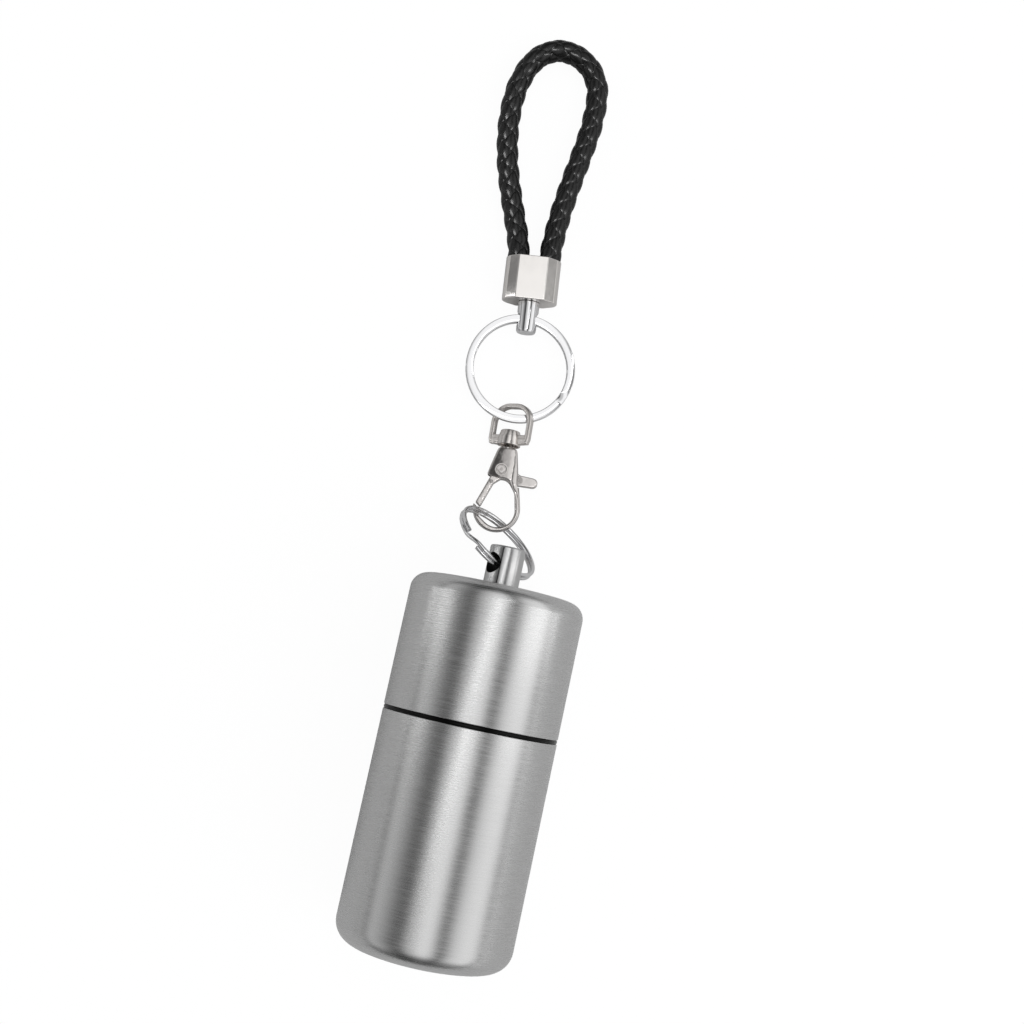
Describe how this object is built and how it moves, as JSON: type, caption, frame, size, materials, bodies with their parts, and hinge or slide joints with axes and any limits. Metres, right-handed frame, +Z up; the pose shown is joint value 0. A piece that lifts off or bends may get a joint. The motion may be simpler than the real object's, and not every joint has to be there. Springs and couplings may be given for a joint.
{
  "type": "pill fob keychain",
  "caption": "Screw-top metal pill canister on a keychain: knob with split ring, lobster clasp with swivel eye, key ring, and a braided cord loop in a ferrule.",
  "frame": {"origin": "on the table, under the middle of the object without its cord", "axes": "+X to the right, +Y along the canister from its base to its cap, +Z up from the table it lies on"},
  "size_m": [0.0513, 0.2497, 0.045],
  "materials": {
    "canister_body": "finely brushed around the axis",
    "neck_seal": "matt",
    "cap_shell": "finely brushed around the axis",
    "cap_knob": "satin turned",
    "knob_washer": "matt",
    "knob_screw": "plain",
    "small_split_ring": "bright nickel",
    "hook_body": "bright nickel over a casting",
    "gate_lever": "bright nickel",
    "gate_pin": "bright nickel",
    "gate_spring": "plain spring wire",
    "swivel_eye": "bright nickel",
    "key_ring": "bright nickel",
    "ring_shank": "bright nickel",
    "ferrule": "bright nickel",
    "cord_loop": "glossy black braid"
  },
  "bodies": {
    "cap": {"cap_shell": "cap_shell", "cap_knob": "cap_knob", "knob_washer": "knob_washer", "knob_screw": "knob_screw"},
    "seal": {"neck_seal": "neck_seal"},
    "canister": {"canister_body": "canister_body"},
    "split_ring": {"small_split_ring": "small_split_ring"},
    "hook": {"hook_body": "hook_body", "gate_pin": "gate_pin", "gate_spring": "gate_spring"},
    "gate": {"gate_lever": "gate_lever"},
    "eye": {"swivel_eye": "swivel_eye"},
    "key_ring": {"key_ring": "key_ring"},
    "shank": {"ring_shank": "ring_shank"},
    "cord_end": {"ferrule": "ferrule", "cord_loop": "cord_loop"}
  },
  "joints": [
    {"name": "unscrew_travel", "type": "slide", "parent": "cap", "child": "seal", "axis": [0, -1, 0], "range_m": [0, 0.012]},
    {"name": "unscrew", "type": "hinge", "parent": "seal", "child": "canister", "pos_m": [0, -0.03463, 0.0225], "axis": [0, -1, 0], "range_deg": [0, 1080]},
    {"name": "ring_in_knob", "type": "hinge", "parent": "cap", "child": "split_ring", "pos_m": [0, 0.00636, 0.0225], "axis": [0.749, 0, -0.6626], "range_deg": [-20, 45]},
    {"name": "hook_on_ring", "type": "hinge", "parent": "split_ring", "child": "hook", "pos_m": [-0.00784, 0.02018, 0.00565], "axis": [-0.7695, 0.1996, 0.6066], "range_deg": [-12, 35]},
    {"name": "gate_swing", "type": "hinge", "parent": "hook", "child": "gate", "pos_m": [-0.00669, 0.03281, 0.00479], "axis": [-0.0032, 0.0679, 0.9977], "range_deg": [0, 30], "stiffness_Nm_per_rad": 0.02, "springref_deg": -17.19, "deforming": ["gate_spring"]},
    {"name": "eye_swivel", "type": "hinge", "parent": "hook", "child": "eye", "pos_m": [-0.00637, 0.04002, 0.0043], "axis": [-0.047, 0.9966, -0.068], "continuous": true},
    {"name": "key_ring_in_eye", "type": "hinge", "parent": "eye", "child": "key_ring", "pos_m": [-0.00673, 0.04775, 0.00378], "axis": [0.9976, 0.0697, 0.0017], "range_deg": [-20, 10]},
    {"name": "shank_on_ring", "type": "hinge", "parent": "key_ring", "child": "shank", "pos_m": [-0.00872, 0.07546, 0.0046], "axis": [0.9951, 0.0993, 0], "range_deg": [-90, 90]},
    {"name": "ferrule_swivel", "type": "hinge", "parent": "shank", "child": "cord_end", "pos_m": [-0.00918, 0.08014, 0.0046], "axis": [-0.0993, 0.9951, 0], "continuous": true}
  ],
  "couplings": [
    {"joint": "unscrew_travel", "follows": "unscrew", "m_per_rad": 0.00063662}
  ]
}
